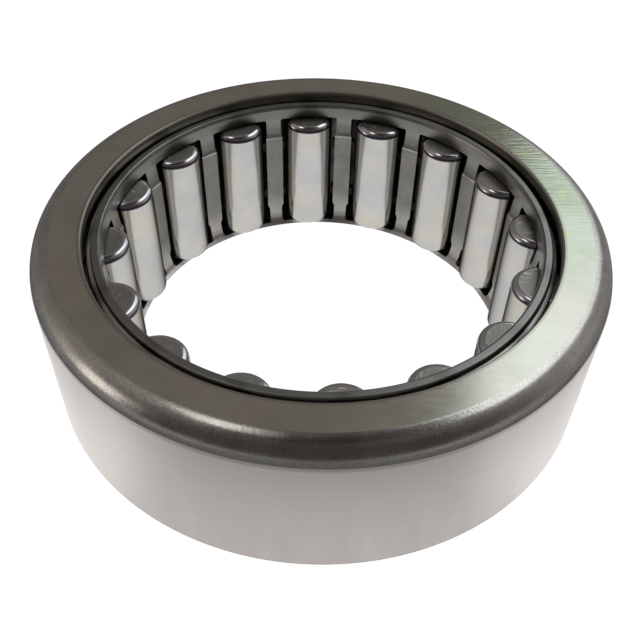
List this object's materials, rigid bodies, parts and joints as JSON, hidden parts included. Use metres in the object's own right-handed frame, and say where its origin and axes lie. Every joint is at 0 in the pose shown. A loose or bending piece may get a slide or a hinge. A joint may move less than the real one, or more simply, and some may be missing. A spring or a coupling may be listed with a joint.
{
  "type": "cylindrical roller bearing",
  "caption": "Cylindrical roller bearing without an inner ring: ribbed outer ring with one large rounded corner, pressed window cage and rollers that run straight on a shaft.",
  "frame": {"origin": "on the bearing axis, in the plane of the lower ring face", "axes": "+Z along the bearing axis, from the plain lower face to the face with the large rounded outer corner"},
  "size_m": [0.08, 0.08, 0.024],
  "materials": {
    "ring_steel": "finely ground through-hardened steel, satin on the rounded corner",
    "cage_steel": "tumbled pressed sheet steel, slightly pitted",
    "roller_steel": "superfinished steel on the barrel, cross-ground end faces"
  },
  "bodies": {
    "outer_ring": {"outer_ring": "ring_steel"},
    "cage": {"cage": "cage_steel"},
    "roller_01": {"roller_01": "roller_steel"},
    "roller_02": {"roller_02": "roller_steel"},
    "roller_03": {"roller_03": "roller_steel"},
    "roller_04": {"roller_04": "roller_steel"},
    "roller_05": {"roller_05": "roller_steel"},
    "roller_06": {"roller_06": "roller_steel"},
    "roller_07": {"roller_07": "roller_steel"},
    "roller_08": {"roller_08": "roller_steel"},
    "roller_09": {"roller_09": "roller_steel"},
    "roller_10": {"roller_10": "roller_steel"},
    "roller_11": {"roller_11": "roller_steel"},
    "roller_12": {"roller_12": "roller_steel"},
    "roller_13": {"roller_13": "roller_steel"},
    "roller_14": {"roller_14": "roller_steel"},
    "roller_15": {"roller_15": "roller_steel"},
    "roller_16": {"roller_16": "roller_steel"}
  },
  "joints": [
    {"name": "cage_spin", "type": "hinge", "parent": "outer_ring", "child": "cage", "pos_m": [0, 0, 0.012], "axis": [0, 0, 1], "continuous": true},
    {"name": "roller_01_spin", "type": "hinge", "parent": "cage", "child": "roller_01", "pos_m": [0.00286, -0.03087, 0.0112], "axis": [0, 0, 1], "continuous": true},
    {"name": "roller_02_spin", "type": "hinge", "parent": "cage", "child": "roller_02", "pos_m": [-0.00917, -0.02961, 0.0112], "axis": [0, 0, 1], "continuous": true},
    {"name": "roller_03_spin", "type": "hinge", "parent": "cage", "child": "roller_03", "pos_m": [-0.0198, -0.02385, 0.0112], "axis": [0, 0, 1], "continuous": true},
    {"name": "roller_04_spin", "type": "hinge", "parent": "cage", "child": "roller_04", "pos_m": [-0.02742, -0.01446, 0.0112], "axis": [0, 0, 1], "continuous": true},
    {"name": "roller_05_spin", "type": "hinge", "parent": "cage", "child": "roller_05", "pos_m": [-0.03087, -0.00286, 0.0112], "axis": [0, 0, 1], "continuous": true},
    {"name": "roller_06_spin", "type": "hinge", "parent": "cage", "child": "roller_06", "pos_m": [-0.02961, 0.00917, 0.0112], "axis": [0, 0, 1], "continuous": true},
    {"name": "roller_07_spin", "type": "hinge", "parent": "cage", "child": "roller_07", "pos_m": [-0.02385, 0.0198, 0.0112], "axis": [0, 0, 1], "continuous": true},
    {"name": "roller_08_spin", "type": "hinge", "parent": "cage", "child": "roller_08", "pos_m": [-0.01446, 0.02742, 0.0112], "axis": [0, 0, 1], "continuous": true},
    {"name": "roller_09_spin", "type": "hinge", "parent": "cage", "child": "roller_09", "pos_m": [-0.00286, 0.03087, 0.0112], "axis": [0, 0, 1], "continuous": true},
    {"name": "roller_10_spin", "type": "hinge", "parent": "cage", "child": "roller_10", "pos_m": [0.00917, 0.02961, 0.0112], "axis": [0, 0, 1], "continuous": true},
    {"name": "roller_11_spin", "type": "hinge", "parent": "cage", "child": "roller_11", "pos_m": [0.0198, 0.02385, 0.0112], "axis": [0, 0, 1], "continuous": true},
    {"name": "roller_12_spin", "type": "hinge", "parent": "cage", "child": "roller_12", "pos_m": [0.02742, 0.01446, 0.0112], "axis": [0, 0, 1], "continuous": true},
    {"name": "roller_13_spin", "type": "hinge", "parent": "cage", "child": "roller_13", "pos_m": [0.03087, 0.00286, 0.0112], "axis": [0, 0, 1], "continuous": true},
    {"name": "roller_14_spin", "type": "hinge", "parent": "cage", "child": "roller_14", "pos_m": [0.02961, -0.00917, 0.0112], "axis": [0, 0, 1], "continuous": true},
    {"name": "roller_15_spin", "type": "hinge", "parent": "cage", "child": "roller_15", "pos_m": [0.02385, -0.0198, 0.0112], "axis": [0, 0, 1], "continuous": true},
    {"name": "roller_16_spin", "type": "hinge", "parent": "cage", "child": "roller_16", "pos_m": [0.01446, -0.02742, 0.0112], "axis": [0, 0, 1], "continuous": true}
  ],
  "couplings": [
    {"joint": "roller_01_spin", "follows": "cage_spin", "ratio": -8.75},
    {"joint": "roller_02_spin", "follows": "cage_spin", "ratio": -8.75},
    {"joint": "roller_03_spin", "follows": "cage_spin", "ratio": -8.75},
    {"joint": "roller_04_spin", "follows": "cage_spin", "ratio": -8.75},
    {"joint": "roller_05_spin", "follows": "cage_spin", "ratio": -8.75},
    {"joint": "roller_06_spin", "follows": "cage_spin", "ratio": -8.75},
    {"joint": "roller_07_spin", "follows": "cage_spin", "ratio": -8.75},
    {"joint": "roller_08_spin", "follows": "cage_spin", "ratio": -8.75},
    {"joint": "roller_09_spin", "follows": "cage_spin", "ratio": -8.75},
    {"joint": "roller_10_spin", "follows": "cage_spin", "ratio": -8.75},
    {"joint": "roller_11_spin", "follows": "cage_spin", "ratio": -8.75},
    {"joint": "roller_12_spin", "follows": "cage_spin", "ratio": -8.75},
    {"joint": "roller_13_spin", "follows": "cage_spin", "ratio": -8.75},
    {"joint": "roller_14_spin", "follows": "cage_spin", "ratio": -8.75},
    {"joint": "roller_15_spin", "follows": "cage_spin", "ratio": -8.75},
    {"joint": "roller_16_spin", "follows": "cage_spin", "ratio": -8.75}
  ]
}
